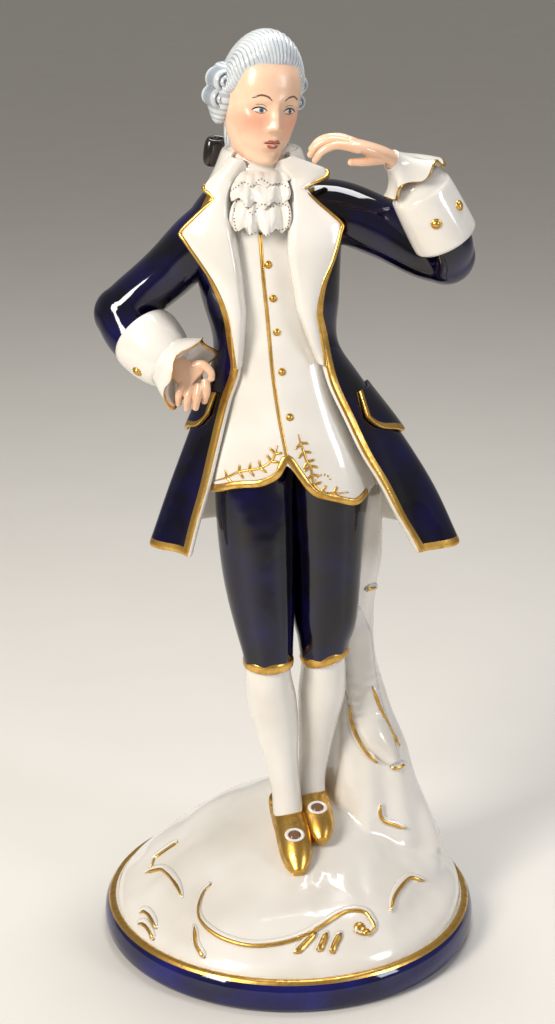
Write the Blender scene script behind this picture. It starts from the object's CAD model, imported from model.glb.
# %% [markdown]
# # A porcelain gentleman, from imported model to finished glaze
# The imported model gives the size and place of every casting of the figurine. This lesson gives each
# casting its finished surface: the drapery, the hair, the rockwork, the gilding and the glazes. All
# lengths below are in millimetres, as a modeller at the pottery would say them, and `mm()` turns
# them into Blender's metres.

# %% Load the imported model, and keep its box
import math

import bmesh
import bpy
import numpy as np
from mathutils import Matrix, Vector
from mathutils import noise as noise3
from mathutils.bvhtree import BVHTree


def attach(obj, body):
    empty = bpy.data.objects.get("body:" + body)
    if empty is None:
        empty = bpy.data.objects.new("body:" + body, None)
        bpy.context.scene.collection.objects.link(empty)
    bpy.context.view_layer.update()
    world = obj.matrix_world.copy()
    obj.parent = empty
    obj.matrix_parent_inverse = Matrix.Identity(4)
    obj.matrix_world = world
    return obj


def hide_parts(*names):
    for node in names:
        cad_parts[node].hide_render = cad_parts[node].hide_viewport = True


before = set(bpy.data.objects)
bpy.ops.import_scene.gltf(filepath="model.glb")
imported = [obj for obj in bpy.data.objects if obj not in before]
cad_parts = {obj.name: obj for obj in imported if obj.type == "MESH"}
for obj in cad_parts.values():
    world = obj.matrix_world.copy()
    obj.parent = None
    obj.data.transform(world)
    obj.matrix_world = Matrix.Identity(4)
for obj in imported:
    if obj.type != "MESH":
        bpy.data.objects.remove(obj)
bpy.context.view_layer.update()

# %% [markdown]
# ## Helpers
# Clothes and limbs are all made the same way by hand: a circle is added, and its edge is extruded
# again and again, each new ring being moved, turned and scaled to the next cross-section. `skin`
# does that. It is given the rings as points, so a fold is simply a ring that isn't quite round.

# %% Millimetres, and smooth values between keys
MM = 0.001


def mm(x, y, z):
    """A place given in millimetres, as a vector in metres."""
    return Vector((x, y, z)) * MM


def smooth_keys(keys, at):
    """Rows of numbers, smoothly in between. The first number of a row is its place along the way."""
    keys = np.array(keys, float)
    t = keys[:, 0]
    i = int(np.clip(np.searchsorted(t, at) - 1, 0, len(t) - 2))
    share = (at - t[i]) / (t[i + 1] - t[i])
    share = min(max(share, 0.0), 1.0)
    a, b = keys[i, 1:], keys[i + 1, 1:]
    before = keys[max(i - 1, 0)]
    after = keys[min(i + 2, len(t) - 1)]
    span = t[i + 1] - t[i]
    slope_a = (b - before[1:]) / (t[i + 1] - before[0]) * span
    slope_b = (after[1:] - a) / (after[0] - t[i]) * span
    s2, s3 = share * share, share ** 3
    return (2 * s3 - 3 * s2 + 1) * a + (s3 - 2 * s2
                                        + share) * slope_a + (3 * s2 - 2 * s3) * b + (s3 - s2) * slope_b


def spread(start, stop, count):
    """count numbers from start to stop."""
    return [float(v) for v in np.linspace(start, stop, count)]


# %% Extrude a ring again and again
def skin(name, rings, closed=True, start_cap=False, end_cap=False):
    """Extrudes a loop of edges ring after ring, and sets each new ring where its points belong.
    Each vertex keeps its ring's number and its number round the ring, for choosing faces later."""
    bpy.ops.object.select_all(action="DESELECT")
    bpy.ops.mesh.primitive_circle_add(vertices=len(rings[0]), radius=MM)
    piece = bpy.context.object
    piece.name = name
    bpy.ops.object.mode_set(mode="EDIT")
    bpy.ops.mesh.select_mode(type="EDGE")
    grid = bmesh.from_edit_mesh(piece.data)
    around = grid.verts.layers.int.new("around")
    down = grid.verts.layers.int.new("down")
    grid.verts.ensure_lookup_table()
    for i, vertex in enumerate(grid.verts):
        vertex[around] = i
    if not closed:
        last = [e for e in grid.edges if abs(e.verts[0].index - e.verts[1].index) > 1]
        bmesh.ops.delete(grid, geom=last, context="EDGES_FACES")
    bpy.ops.mesh.select_all(action="SELECT")
    for i, ring in enumerate(rings):
        if i:
            bpy.ops.mesh.extrude_edges_move()
        grid = bmesh.from_edit_mesh(piece.data)
        around = grid.verts.layers.int["around"]
        down = grid.verts.layers.int["down"]
        for vertex in grid.verts:
            if vertex.select:
                vertex.co = ring[vertex[around]]
                vertex[down] = i
    if end_cap:
        bpy.ops.mesh.edge_face_add()
    if start_cap:
        down = grid.verts.layers.int["down"]
        bpy.ops.mesh.select_all(action="DESELECT")
        for edge in grid.edges:
            if edge.verts[0][down] == 0 and edge.verts[1][down] == 0:
                edge.select = True
        bmesh.update_edit_mesh(piece.data)
        bpy.ops.mesh.edge_face_add()
    bpy.ops.mesh.select_all(action="SELECT")
    bpy.ops.mesh.normals_make_consistent(inside=False)
    bpy.ops.object.mode_set(mode="OBJECT")
    return piece


def give(piece, *materials):
    """Puts materials in the piece's slots. A wall made later finds its own slots there already."""
    for material in materials:
        piece.data.materials.append(material)
    return piece


def paint_faces(piece, number, wanted):
    """Gives slot number to the faces where wanted(lowest ring, lowest place round it) is true."""
    marks = piece.data.attributes
    down = [d.value for d in marks["down"].data]
    around = [d.value for d in marks["around"].data]
    for face in piece.data.polygons:
        if wanted(min(down[v] for v in face.vertices), min(around[v] for v in face.vertices)):
            face.material_index = number


# %% Apply a modifier, and dress a finished piece
def modify(piece, kind, **settings):
    """Adds a modifier with its settings and applies it, so that the mesh keeps what it made."""
    bpy.ops.object.select_all(action="DESELECT")
    bpy.context.view_layer.objects.active = piece
    piece.select_set(True)
    modifier = piece.modifiers.new(kind.title(), kind)
    for key, value in settings.items():
        setattr(modifier, key, value)
    bpy.ops.object.modifier_apply(modifier=modifier.name)
    return piece


def dress(piece, slot, *materials, stands_for=()):
    """Smooth shading, materials, the body it rides on, its slot and the CAD nodes it stands for."""
    give(piece, *materials)
    piece.data.polygons.foreach_set("use_smooth", [True] * len(piece.data.polygons))
    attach(piece, "root")
    if stands_for:
        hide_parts(*stands_for)
    print(piece.name, len(piece.data.polygons), "faces for", ", ".join(stands_for) or "detail")
    return piece


# %% [markdown]
# ## The materials
# Seven finishes cover the whole figurine. Each is fired: a clear glaze over white porcelain, a
# cobalt glaze, burnished gold, and enamels for skin, hair and ribbon. Only the closing plate
# underneath stays bare. Hex colours are what a colour card shows, so one function turns them to the
# linear numbers that light is counted in.

# %% Colours and one function for nodes
def linear(card):
    """An sRGB colour such as "#c99a3f" as linear red, green, blue and alpha."""
    parts = [int(card[i:i + 2], 16) / 255 for i in (1, 3, 5)]
    return [p / 12.92 if p <= 0.04045 else ((p + 0.055) / 1.055) ** 2.4 for p in parts] + [1.0]


def add(tree, kind, inputs=(), **settings):
    """Adds a node. inputs is pairs of (input name or number, value or the socket to link from)."""
    node = tree.nodes.new(kind)
    for key, value in settings.items():
        setattr(node, key, value)
    for name, value in inputs:
        if isinstance(value, bpy.types.NodeSocket):
            tree.links.new(value, node.inputs[name])
        else:
            node.inputs[name].default_value = value
    return node


def new_material(name):
    """An empty node material, its Principled shader and its Object coordinates."""
    material = bpy.data.materials.new(name)
    material.use_nodes = True
    tree = material.node_tree
    shader = tree.nodes["Principled BSDF"]
    where = add(tree, "ShaderNodeTexCoord").outputs["Object"]
    return material, tree, shader, where


def mix(tree, share, a, b):
    """A colour between a and b."""
    node = tree.nodes.new("ShaderNodeMix")
    node.data_type = "RGBA"
    for socket, value in ((node.inputs[0], share), (node.inputs[6], a), (node.inputs[7], b)):
        if isinstance(value, bpy.types.NodeSocket):
            tree.links.new(value, socket)
        else:
            socket.default_value = value
    return node.outputs[2]


def noise(tree, where, size_mm, detail=2.0):
    """Cloudy noise whose blotches are about size_mm across."""
    return add(tree, "ShaderNodeTexNoise", [("Vector", where), ("Scale", 1.0 / (size_mm * MM)),
                                            ("Detail", detail)]).outputs["Fac"]


def ramp(tree, value, low, high):
    """value, stretched so that low becomes 0 and high becomes 1."""
    return add(tree, "ShaderNodeMapRange",
               [("Value", value), ("From Min", low), ("From Max", high)]).outputs["Result"]


def bump(tree, height, depth_mm, strength=1.0):
    """A bumped normal."""
    return add(tree, "ShaderNodeBump", [("Height", height), ("Distance", depth_mm * MM),
                                        ("Strength", strength)]).outputs["Normal"]


# %% [markdown]
# ### White porcelain
# The body is porcelain cast in slip, fired, dipped in clear glaze and fired again. It could be one flat
# white, but light goes a little way into the body and the glaze pools unevenly. So the shader has two
# close warm whites, a little subsurface, and a glassy coat over a slow ripple.

# %% White porcelain under a clear glaze
def make_white_glaze():
    """Warm white body; the glaze over it is glassy and lies a little unevenly, as poured glaze does."""
    material, tree, shader, where = new_material("white_glazed_porcelain")
    body = mix(tree, ramp(tree, noise(tree, where, 26), 0.35, 0.7), linear("#e6e2db"), linear("#dad4ca"))
    tree.links.new(body, shader.inputs["Base Color"])
    shader.inputs["Roughness"].default_value = 0.16
    shader.inputs["IOR"].default_value = 1.52
    shader.inputs["Subsurface Weight"].default_value = 0.12
    shader.inputs["Subsurface Radius"].default_value = (1.0, 0.9, 0.8)
    shader.inputs["Subsurface Scale"].default_value = 1.5 * MM
    shader.inputs["Coat Weight"].default_value = 0.8
    shader.inputs["Coat Roughness"].default_value = 0.02
    tree.links.new(bump(tree, noise(tree, where, 9, 1.0), 0.2), shader.inputs["Normal"])
    return material


# %% [markdown]
# ### Cobalt
# Cobalt oxide is brushed on below the glaze. It is so strong that it looks almost black where it lies
# thick, and shows its blue only where the brush went thin. Noise the size of those patches mixes the
# two, and a very low roughness gives the hard, mirror-like lights of glaze on a dark ground.

# %% Cobalt glaze
def make_cobalt_glaze(name, thick, thin):
    """Cobalt glaze: almost black where it is thick, and bluer where it has thinned on edges and folds."""
    material, tree, shader, where = new_material(name)
    depth = ramp(tree, noise(tree, where, 18), 0.42, 0.8)
    tree.links.new(mix(tree, depth, linear(thick), linear(thin)), shader.inputs["Base Color"])
    shader.inputs["Roughness"].default_value = 0.06
    shader.inputs["IOR"].default_value = 1.52
    tree.links.new(bump(tree, noise(tree, where, 8, 1.0), 0.14), shader.inputs["Normal"])
    return material


# %% [markdown]
# ### Burnished gold
# Gold is painted over the glaze, fired at low heat, and rubbed with an agate. The rubbing leaves patches
# about 3 mm across that shine more than the rest, so one noise drives both the colour and the
# roughness. It is a metal, so it keeps the shader's usual IOR.

# %% Burnished gold
def make_gilt():
    """Fired gold, burnished with an agate: bright, with faint strokes and patches left by the brush."""
    material, tree, shader, where = new_material("burnished_gold")
    patch = ramp(tree, noise(tree, where, 3.0, 4.0), 0.35, 0.7)
    tree.links.new(mix(tree, patch, linear("#e3b968"), linear("#c0923e")), shader.inputs["Base Color"])
    shader.inputs["Metallic"].default_value = 1.0
    rough = add(tree, "ShaderNodeMapRange", [("Value", patch), ("To Min", 0.26), ("To Max", 0.42)])
    tree.links.new(rough.outputs["Result"], shader.inputs["Roughness"])
    tree.links.new(bump(tree, noise(tree, where, 1.2, 3.0), 0.05), shader.inputs["Normal"])
    return material


# %% [markdown]
# ### Enamels
# Skin, hair, ribbon and all fine lines are coloured enamels, stippled over the glaze and fired last. One
# function makes them all from two close shades and the size of the stipple in millimetres. The bare
# biscuit of the closing plate is made by it too, with the gloss taken away.

# %% Enamels
def make_enamel(name, main, second, size_mm, roughness=0.2):
    """A glossy fired enamel in two close shades."""
    material, tree, shader, where = new_material(name)
    tone = ramp(tree, noise(tree, where, size_mm, 3.0), 0.35, 0.7)
    tree.links.new(mix(tree, tone, linear(main), linear(second)), shader.inputs["Base Color"])
    shader.inputs["Roughness"].default_value = roughness
    shader.inputs["Coat Weight"].default_value = 0.4
    shader.inputs["Coat Roughness"].default_value = 0.05
    return material


white = make_white_glaze()
cobalt = make_cobalt_glaze("cobalt_glaze", "#02010c", "#0b0742")
bright_cobalt = make_cobalt_glaze("cobalt_glaze_thin", "#080838", "#14166c")
gilt = make_gilt()
skin_enamel = make_enamel("flesh_enamel", "#e7bfa0", "#deb08c", 12)
ribbon_enamel = make_enamel("black_ribbon_enamel", "#15110f", "#241b17", 4)
biscuit = make_enamel("bare_biscuit", "#e3ddd2", "#d6cebf", 5, 0.8)
print("materials", [m.name for m in bpy.data.materials])

# %% [markdown]
# ## Oval clothes that hang from the shoulders
# Waistcoat and coat are stacks of level ovals. A key gives the height, the oval's middle, and its
# half width and half depth; between keys the values run smoothly. Around the oval, angle 0 is the
# front and angles grow towards the gentleman's left.

# %% The ovals of waistcoat and coat
TRUNK = [(163, 0, -1.5, 29.5, 20.5), (180, -0.5, -1.5, 26.0, 18.6), (198, -2.5, -1.0, 20.4, 15.2),
         (217, -4.7, 0, 17.5, 13.0), (233, -6.5, -0.5, 19.6, 14.5), (246, -7.5, 0, 21.0, 15.0),
         (258, -7.8, 1.0, 19.6, 13.2), (266, -9.2, 1.5, 15.5, 10.8), (273, -9.2, 1.5, 10.2, 9.2)]
SKIRT = [(144.9, 4.5, 6.0, 52.2, 31.2), (166.5, 3.5, 4.8, 44.3, 27.7), (188.1, 1.0, 3.0, 34.2, 23.7),
         (205.4, -2.0, 1.5, 25.2, 19.2), (217, -4.7, 0.6, 20.9, 16.4), (233, -6.5, 0.2, 23.0, 17.8),
         (246, -7.5, 0.6, 24.4, 18.4), (258, -8.2, 1.8, 25.4, 16.4), (266, -8.8, 2.2, 20.0, 13.6),
         (272, -9.2, 2.2, 13.8, 12.4), (276.6, -9.2, 1.6, 12.6, 11.8)]


def oval(keys, z, angle, grow=0.0):
    """A point in millimetres on the oval at height z."""
    x, y, width, depth = smooth_keys(keys, z)
    return (x + (width + grow) * math.sin(angle), y - (depth + grow) * math.cos(angle), z)


def angle_at(keys, z, x):
    """The angle at which the front of the oval at height z passes through x."""
    middle, _, width, _ = smooth_keys(keys, z)
    return math.asin(min(max((x - middle) / width, -0.99), 0.99))


# %% [markdown]
# ## The waistcoat
# On the real figurine the waistcoat is the front of the trunk casting. It ends in two points with a
# notch between them. The tube is extruded downwards, and the last rings follow the hem, so that the
# notch is in the mesh and not cut out of it.

# %% The hem of the waistcoat, and the tube
HEM = [(-30, 167.5), (-26.4, 167.6), (-18.4, 170.6), (-9.8, 172.3), (-4.0, 175.6), (-0.9, 181.2),
       (3.9, 175.0), (8.5, 169.0), (15.4, 166.6), (21.9, 164.4), (26.2, 166.4), (30, 168)]


def hem_height(x):
    """The waistcoat's lower edge at x."""
    return float(np.interp(x, [p[0] for p in HEM], [p[1] for p in HEM]))


TRUNK_TOP = 273


def waistcoat_rings(around=96, down=56):
    rings = []
    for step in range(down):
        share = step / (down - 1)
        ring = []
        for i in range(around):
            angle = 2 * math.pi * i / around
            low = hem_height(oval(TRUNK, 170, angle)[0]) if math.cos(angle) > 0 else 168
            z = TRUNK_TOP + (low - TRUNK_TOP) * share
            flare = 0.8 * share ** 6
            ripple = 0.5 * math.sin(7 * angle + 2.0) * share ** 3
            ring.append(mm(*oval(TRUNK, z, angle, flare + ripple)))
        rings.append(ring)
    return rings


WAISTCOAT_WALL = 1.6
waistcoat = skin("waistcoat", waistcoat_rings())
modify(waistcoat, "SOLIDIFY", thickness=WAISTCOAT_WALL * MM, offset=-1.0)
modify(waistcoat, "SUBSURF", levels=1, render_levels=1)
dress(waistcoat, "white_glaze", white, stands_for=("waistcoat_torso",))

# %% [markdown]
# ## The coat
# The coat is a shell that is open at the front. A strip of edges, not a closed circle, is extruded
# from the collar to the hem, and its two ends follow the front edges. Solidify gives it the wall,
# and puts the white lining on the inside and on the cut edge. The outermost columns and the lowest
# rings are the gilt band.

# %% The front edges of the coat
RIGHT_EDGE = [(277, -20.0), (268, -24.0), (256, -28.5), (246, -27.0), (240, -23.9), (233.7, -21.0),
              (227.4, -19.0), (218, -17.9), (210.4, -16.8), (199.4, -20.4), (184.4, -24.2),
              (169.2, -27.9), (157, -31.7), (144.9, -35.0)]
LEFT_EDGE = [(277, -1.0), (268, 6.0), (258, 14.0), (251, 13.4), (244, 11.6), (238, 9.3), (229.3, 8.2),
             (223, 9.6), (206.9, 13.1), (194.2, 18.9), (182.1, 24.7), (172.3, 30.7), (160, 37.5),
             (151.5, 43.5), (144.9, 47.5)]
COAT_TOP, COAT_HEM, EDGE_BAND, COAT_WALL = 276.6, 144.9, 3.0, 2.6


def bump_at(share, middle, reach):
    """1 at middle, falling away to almost nothing at twice the reach on either side."""
    return math.exp(-((share - middle) / reach) ** 2)


def edge_x(edge, z):
    """x of a front edge at height z."""
    points = sorted(edge)
    return float(smooth_keys(points, z)[0])


def skirt_fold(angle, z):
    """The folds of the skirt: deep at the hem, gone at the waist."""
    depth = max(0.0, (212 - z) / 67) ** 1.4
    back = 2.2 * math.sin(5 * angle + 0.4) + 1.2 * math.sin(9 * angle + 1.1)
    turn = math.degrees(angle) % 360
    pleat = bump_at(turn, 58, 9) + bump_at(turn, 302, 9)
    pleat = pleat - 0.6 * bump_at(turn, 78, 9) - 0.6 * bump_at(turn, 282, 9)
    return depth * (back * (0.35 + 0.65 * math.sin(angle / 2) ** 2) - 2.4 * pleat)


def coat_columns(z, count=110):
    """Angles from the left front edge round the back to the right one, with columns for the gilt band."""
    start = angle_at(SKIRT, z, edge_x(LEFT_EDGE, z))
    stop = angle_at(SKIRT, z, edge_x(RIGHT_EDGE, z)) + 2 * math.pi
    width = smooth_keys(SKIRT, z)[2]
    near = EDGE_BAND / width / max(0.5, math.cos(start))
    far = EDGE_BAND / width / max(0.5, math.cos(stop))
    middle = spread(start + near, stop - far, count)[1:-1]
    return [start, start + near / 2, start + near] + middle + [stop - far, stop - far / 2, stop]


def coat_rings():
    rings = []
    for z in spread(COAT_TOP, COAT_HEM + EDGE_BAND, 78) + [COAT_HEM + EDGE_BAND / 2, COAT_HEM]:
        rings.append([mm(*oval(SKIRT, z, a, skirt_fold(a, z))) for a in coat_columns(z)])
    return rings


coat = give(skin("coat", coat_rings(), closed=False), cobalt, gilt, white, white)
columns = len(coat_columns(200))
rows = len(coat_rings())
paint_faces(coat, 1, lambda down, around: around < 2 or around > columns - 4 or down > rows - 4)
modify(coat, "SOLIDIFY", thickness=COAT_WALL * MM, offset=-1.0, material_offset=2, material_offset_rim=2)
modify(coat, "SUBSURF", levels=1, render_levels=1)
dress(coat, "cobalt_glaze", stands_for=("coat_body", "coat_tail", "right_coat_skirt", "left_coat_skirt"))

# %% [markdown]
# ## Gilt lines
# Gold is painted on with a brush and stands a hair above the glaze. Each line is a thin, flattened
# tube that lies on the surface under it: the path's points are dropped on the finished mesh, and
# the tube's flat side is turned to the surface there.

# %% Drop a point on a finished piece
def surface_of(*pieces):
    """A search tree over the faces of these pieces."""
    vertices, faces = [], []
    for piece in pieces:
        start = len(vertices)
        vertices += [v.co.copy() for v in piece.data.vertices]
        faces += [[start + v for v in p.vertices] for p in piece.data.polygons]
    return BVHTree.FromPolygons(vertices, faces)


def front_hit(surface, x, z):
    """Where a line from the front at x, z meets the surface, and the surface's normal there."""
    spot, normal, _, _ = surface.ray_cast(mm(x, -200, z), Vector((0, 1, 0)))
    return (spot, normal) if spot else (None, None)


def smooth_path(points, step):
    """Points every step millimetres or so along a smooth curve through points."""
    rows = [(i, *p) for i, p in enumerate(points)]
    fine = [Vector(smooth_keys(rows, t)) for t in spread(0, len(points) - 1, 24 * (len(points) - 1) + 1)]
    path = [fine[0]]
    for p in fine[1:]:
        if (p - path[-1]).length >= step:
            path.append(p)
    if (fine[-1] - path[-1]).length > step * 0.3:
        path.append(fine[-1])
    return path


# %% Paint one line
def stroke(name, spots, width, height=0.35, taper=True):
    """A flat tube through (place, normal) pairs in metres, narrower towards its ends."""
    rings = []
    last = len(spots) - 1
    for i, (place, normal) in enumerate(spots):
        ahead = spots[min(i + 1, last)][0] - spots[max(i - 1, 0)][0]
        side = ahead.normalized().cross(normal).normalized()
        share = i / last
        size = min(1.0, 0.35 + 4.0 * min(share, 1 - share)) if taper else 1.0
        ring = []
        for k in range(8):
            turn = 2 * math.pi * k / 8
            ring.append(place + side * math.cos(turn) * width / 2 * size * MM
                        + normal * math.sin(turn) * height * MM)
        rings.append(ring)
    return skin(name, rings, start_cap=True, end_cap=True)


def front_stroke(name, surface, points, width, height=0.35, taper=True, step=0.9):
    """A stroke through (x, z) points, dropped on the surface from the front."""
    spots = []
    for p in smooth_path([(x, 0, z) for x, z in points], step):
        place, normal = front_hit(surface, p.x, p.z)
        if place:
            spots.append((place, normal))
    return stroke(name, spots, width, height, taper)


def gather(name, pieces):
    """Joins small meshes into one piece."""
    bpy.ops.object.select_all(action="DESELECT")
    for piece in pieces:
        piece.select_set(True)
    bpy.context.view_layer.objects.active = pieces[0]
    bpy.ops.object.join()
    pieces[0].name = name
    return pieces[0]


def bead(place, normal, radius, flat=0.6):
    """A small round dot, flattened along the normal."""
    bpy.ops.object.select_all(action="DESELECT")
    bpy.ops.mesh.primitive_uv_sphere_add(segments=14, ring_count=8, radius=radius * MM)
    dot = bpy.context.object
    turn = normal.to_track_quat("Z", "Y").to_matrix().to_4x4()
    dot.data.transform(Matrix.Translation(place) @ turn @ Matrix.Diagonal((1, 1, flat, 1)))
    return dot


# %% [markdown]
# ## Lapels and collar
# The facings are turned back over the chest. Each is a strip between its roll line and its outline,
# wide at the peak and narrow at the waist, and it lies on a form a little fuller than the chest.

# %% The form that the facings lie on, and one facing
FACING_FORM = [(200, -1.4, 1.6, 27.8, 20.4), (216, -4.7, 0.6, 22.6, 17.6), (233, -6.5, 0, 30.0, 18.6),
               (246, -7.5, 0.4, 36.0, 19.0), (256, -8.4, 1.2, 38.0, 18.4), (266, -9.0, 2.0, 32.0, 16.0),
               (272, -9.2, 2.2, 25.0, 14.2), (280, -9.2, 1.8, 15.0, 11.0)]
RIGHT_ROLL = [(-14.5, 279), (-18.5, 273), (-20.6, 267), (-20.4, 261), (-18.5, 252), (-17.0, 242.5),
              (-15.8, 230), (-16.6, 218), (-17.3, 211)]
RIGHT_OUTLINE = [(-18.5, 279.5), (-22.5, 275), (-26.6, 271.0), (-27.2, 269.6), (-24.0, 267.0),
                 (-27.4, 263.6), (-34.6, 256.4), (-33.6, 254.0), (-27.5, 245.5), (-23.9, 239.9),
                 (-21.0, 233.7), (-19.0, 227.4), (-17.9, 217), (-17.5, 211)]
LEFT_ROLL = [(-4.0, 279), (0.6, 273), (1.4, 266), (0.9, 258.6), (0.9, 250.5), (2.2, 242), (3.9, 231.5),
             (8.0, 219), (10.9, 212)]
LEFT_OUTLINE = [(0.0, 279.5), (6.0, 277.0), (10.9, 274.8), (11.2, 272.9), (4.4, 270.2), (8.0, 266.0),
                (16.0, 259.0), (15.9, 256.4), (13.6, 248.0), (10.6, 241.0), (8.9, 234.0), (8.4, 229.3),
                (9.9, 220), (11.3, 212)]


def lie_on(keys, x, z, lift=0.0):
    """The point above x, z on the front of an oval form, in metres, and its outward direction."""
    angle = angle_at(keys, z, x)
    _, y, width, depth = smooth_keys(keys, z)
    normal = Vector((math.sin(angle) / width, -math.cos(angle) / depth, 0)).normalized()
    return mm(x, y - depth * math.cos(angle), z) + normal * lift * MM, normal


def along(points, share):
    """The point at that share of a polyline's length."""
    points = [Vector(p) for p in points]
    lengths = [(b - a).length for a, b in zip(points, points[1:])]
    left = share * sum(lengths)
    for a, b, length in zip(points, points[1:], lengths):
        if left <= length:
            return a.lerp(b, left / length)
        left -= length
    return points[-1]


def same_height(line, z):
    """x of a roll line at height z."""
    points = sorted((p[1], p[0]) for p in line)
    return float(np.interp(z, [p[0] for p in points], [p[1] for p in points]))


def facing(name, roll, outline, across=14, down=110):
    rings = []
    for step in range(down):
        outer = along(outline, step / (down - 1))
        z = min(outer.y, 279)
        inner = Vector((same_height(roll, z), z))
        ring = []
        tuck = 1.6 if outer.x < -5 else -1.6
        ring.append(lie_on(TRUNK, inner.x + tuck, min(inner.y, 272.5), -0.4)[0])
        for i in range(across):
            share = i / (across - 1)
            spot = inner.lerp(outer, share)
            lift = (0.7 * math.sin(math.pi * share) + 0.5) * min(1.0, max(0.1, (spot.y - 210) / 16))
            ring.append(lie_on(FACING_FORM, spot.x, spot.y, lift)[0])
        rings.append(ring)
    piece = skin(name, rings, closed=False)
    modify(piece, "SOLIDIFY", thickness=1.8 * MM, offset=0.0)
    modify(piece, "SUBSURF", levels=1, render_levels=1)
    return piece


right_facing = facing("right_lapel", RIGHT_ROLL, RIGHT_OUTLINE)
left_facing = facing("left_lapel", LEFT_ROLL, LEFT_OUTLINE)
dress(right_facing, "white_glaze", white, stands_for=("right_lapel",))
dress(left_facing, "white_glaze", white, stands_for=("left_lapel",))


def piping(name, outline, width):
    """The gilt edge of a facing."""
    flat = smooth_path([(x, 0, z) for x, z in outline], 0.9)
    spots = [lie_on(FACING_FORM, p.x, p.z, 0.9) for p in flat]
    return stroke(name, spots, width, 1.0, taper=False)


lapel_gilding = gather("lapel_gilding", [piping("right_edge", RIGHT_OUTLINE[2:], 1.6),
                                         piping("left_edge", LEFT_OUTLINE[2:], 1.6)])
dress(lapel_gilding, "burnished_gold", gilt)

# %% [markdown]
# ## Limbs
# Arms, legs, shoes and fingers are all round in section and bend gently, so one tool can make them: a
# tube along a path of joints. Each key gives a joint and the half sizes there. Bending a straight
# tube would also do, but its section would shear at every joint.

# %% A tube along a path
def limb_rings(keys, count=24, around=32, fold=None):
    """Rings square to a smooth path. A key is (x, y, z, half width, half depth)."""
    rows = [(i, *key) for i, key in enumerate(keys)]
    rings = []
    for at in spread(0, len(keys) - 1, count):
        x, y, z, width, depth = smooth_keys(rows, at)
        ahead = smooth_keys(rows, min(at + 0.05, len(keys) - 1))[:3]
        behind = smooth_keys(rows, max(at - 0.05, 0))[:3]
        way = Vector(ahead - behind).normalized()
        out = Vector((0, -1, 0))
        out = (out - way * out.dot(way)).normalized()
        side = way.cross(out)
        ring = []
        for i in range(around):
            angle = 2 * math.pi * i / around
            swell = 1.0 + (fold(at / (len(keys) - 1), angle) if fold else 0.0)
            point = Vector((x, y, z)) + (side * math.sin(angle) * width
                                         + out * math.cos(angle) * depth) * swell
            ring.append(point * MM)
        rings.append(ring)
    return rings


def limb(name, keys, count=24, around=32, fold=None, caps=(True, True)):
    piece = skin(name, limb_rings(keys, count, around, fold), start_cap=caps[0], end_cap=caps[1])
    modify(piece, "SUBSURF", levels=1, render_levels=1)
    return piece


# %% [markdown]
# ## Sleeves
# A sleeve turns sharply at the elbow, where the real arm is full and round. One tube bent so sharply
# would pinch there. So the upper arm, a ball and the forearm are three closed forms, a voxel remesh
# makes one skin of them, and smoothing draws the seams into soft folds.

# %% Sleeves: two tubes and an elbow, made one skin by a voxel remesh and then smoothed
def arm_fold(share, angle):
    """Shallow slanting creases in the upper arm."""
    return 0.030 * math.sin(14 * share + 1.5 * math.cos(angle - 0.8)) * math.sin(math.pi * share) ** 0.5


SLEEVE_VOXEL = 0.6


def sleeve(name, upper, lower, elbow, radius):
    parts = [limb("upper_arm", upper, 44, 40, arm_fold), limb("forearm", lower, 20, 40)]
    bpy.ops.object.select_all(action="DESELECT")
    bpy.ops.mesh.primitive_uv_sphere_add(segments=40, ring_count=24, radius=radius * MM,
                                         location=mm(*elbow))
    bpy.ops.object.transform_apply(location=True)
    piece = gather(name, parts + [bpy.context.object])
    modify(piece, "REMESH", mode="VOXEL", voxel_size=SLEEVE_VOXEL * MM)
    modify(piece, "SMOOTH", factor=0.5, iterations=14)
    return piece


right_sleeve = sleeve("right_sleeve_form",
    [(-12, 2, 262, 7, 8.5), (-20, 2, 259, 9.5, 11), (-28, 2, 252, 9.8, 10.6), (-38, 3.5, 242, 9.3, 9.8),
     (-50, 5, 231, 9.1, 9.4), (-55.8, 5, 225, 9.2, 9.4)],
    [(-56.2, 4.6, 225, 9.2, 9.4), (-52.5, -1, 219, 8.6, 8.6), (-46, -6, 214, 7.8, 7.8)],
                      (-56.0, 4.8, 225.2), 9.6)
left_sleeve = sleeve("left_sleeve_form",
    [(-2, 2, 262, 7, 8.5), (8, 2, 261, 9.6, 11), (18, 1.5, 260, 10.2, 10.6), (30, -1, 255, 9.8, 9.8),
     (42, -3, 249, 9.3, 9.4), (50.5, -4, 246.4, 9.2, 9.4)],
    [(50.8, -4.4, 246.4, 9.2, 9.4), (50.6, -10, 252.5, 8.6, 8.8), (47, -15, 259, 7.8, 8.0)],
                     (51.2, -4.4, 246.6), 9.6)
dress(right_sleeve, "cobalt_glaze", cobalt, stands_for=("right_sleeve",))
dress(left_sleeve, "cobalt_glaze", cobalt, stands_for=("left_sleeve",))

# %% [markdown]
# ## Cuffs and their frills
# A cuff is a short drum that turns back over the sleeve, with a soft rolled edge. Out of it comes a
# frill whose lip waves in and out. Both are tubes whose rings are square to the forearm. The hand on
# the hip hangs, so its frill opens towards the hand. The other arm is raised, so that frill is
# gathered at the wrist and falls back over the cuff.

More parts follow.
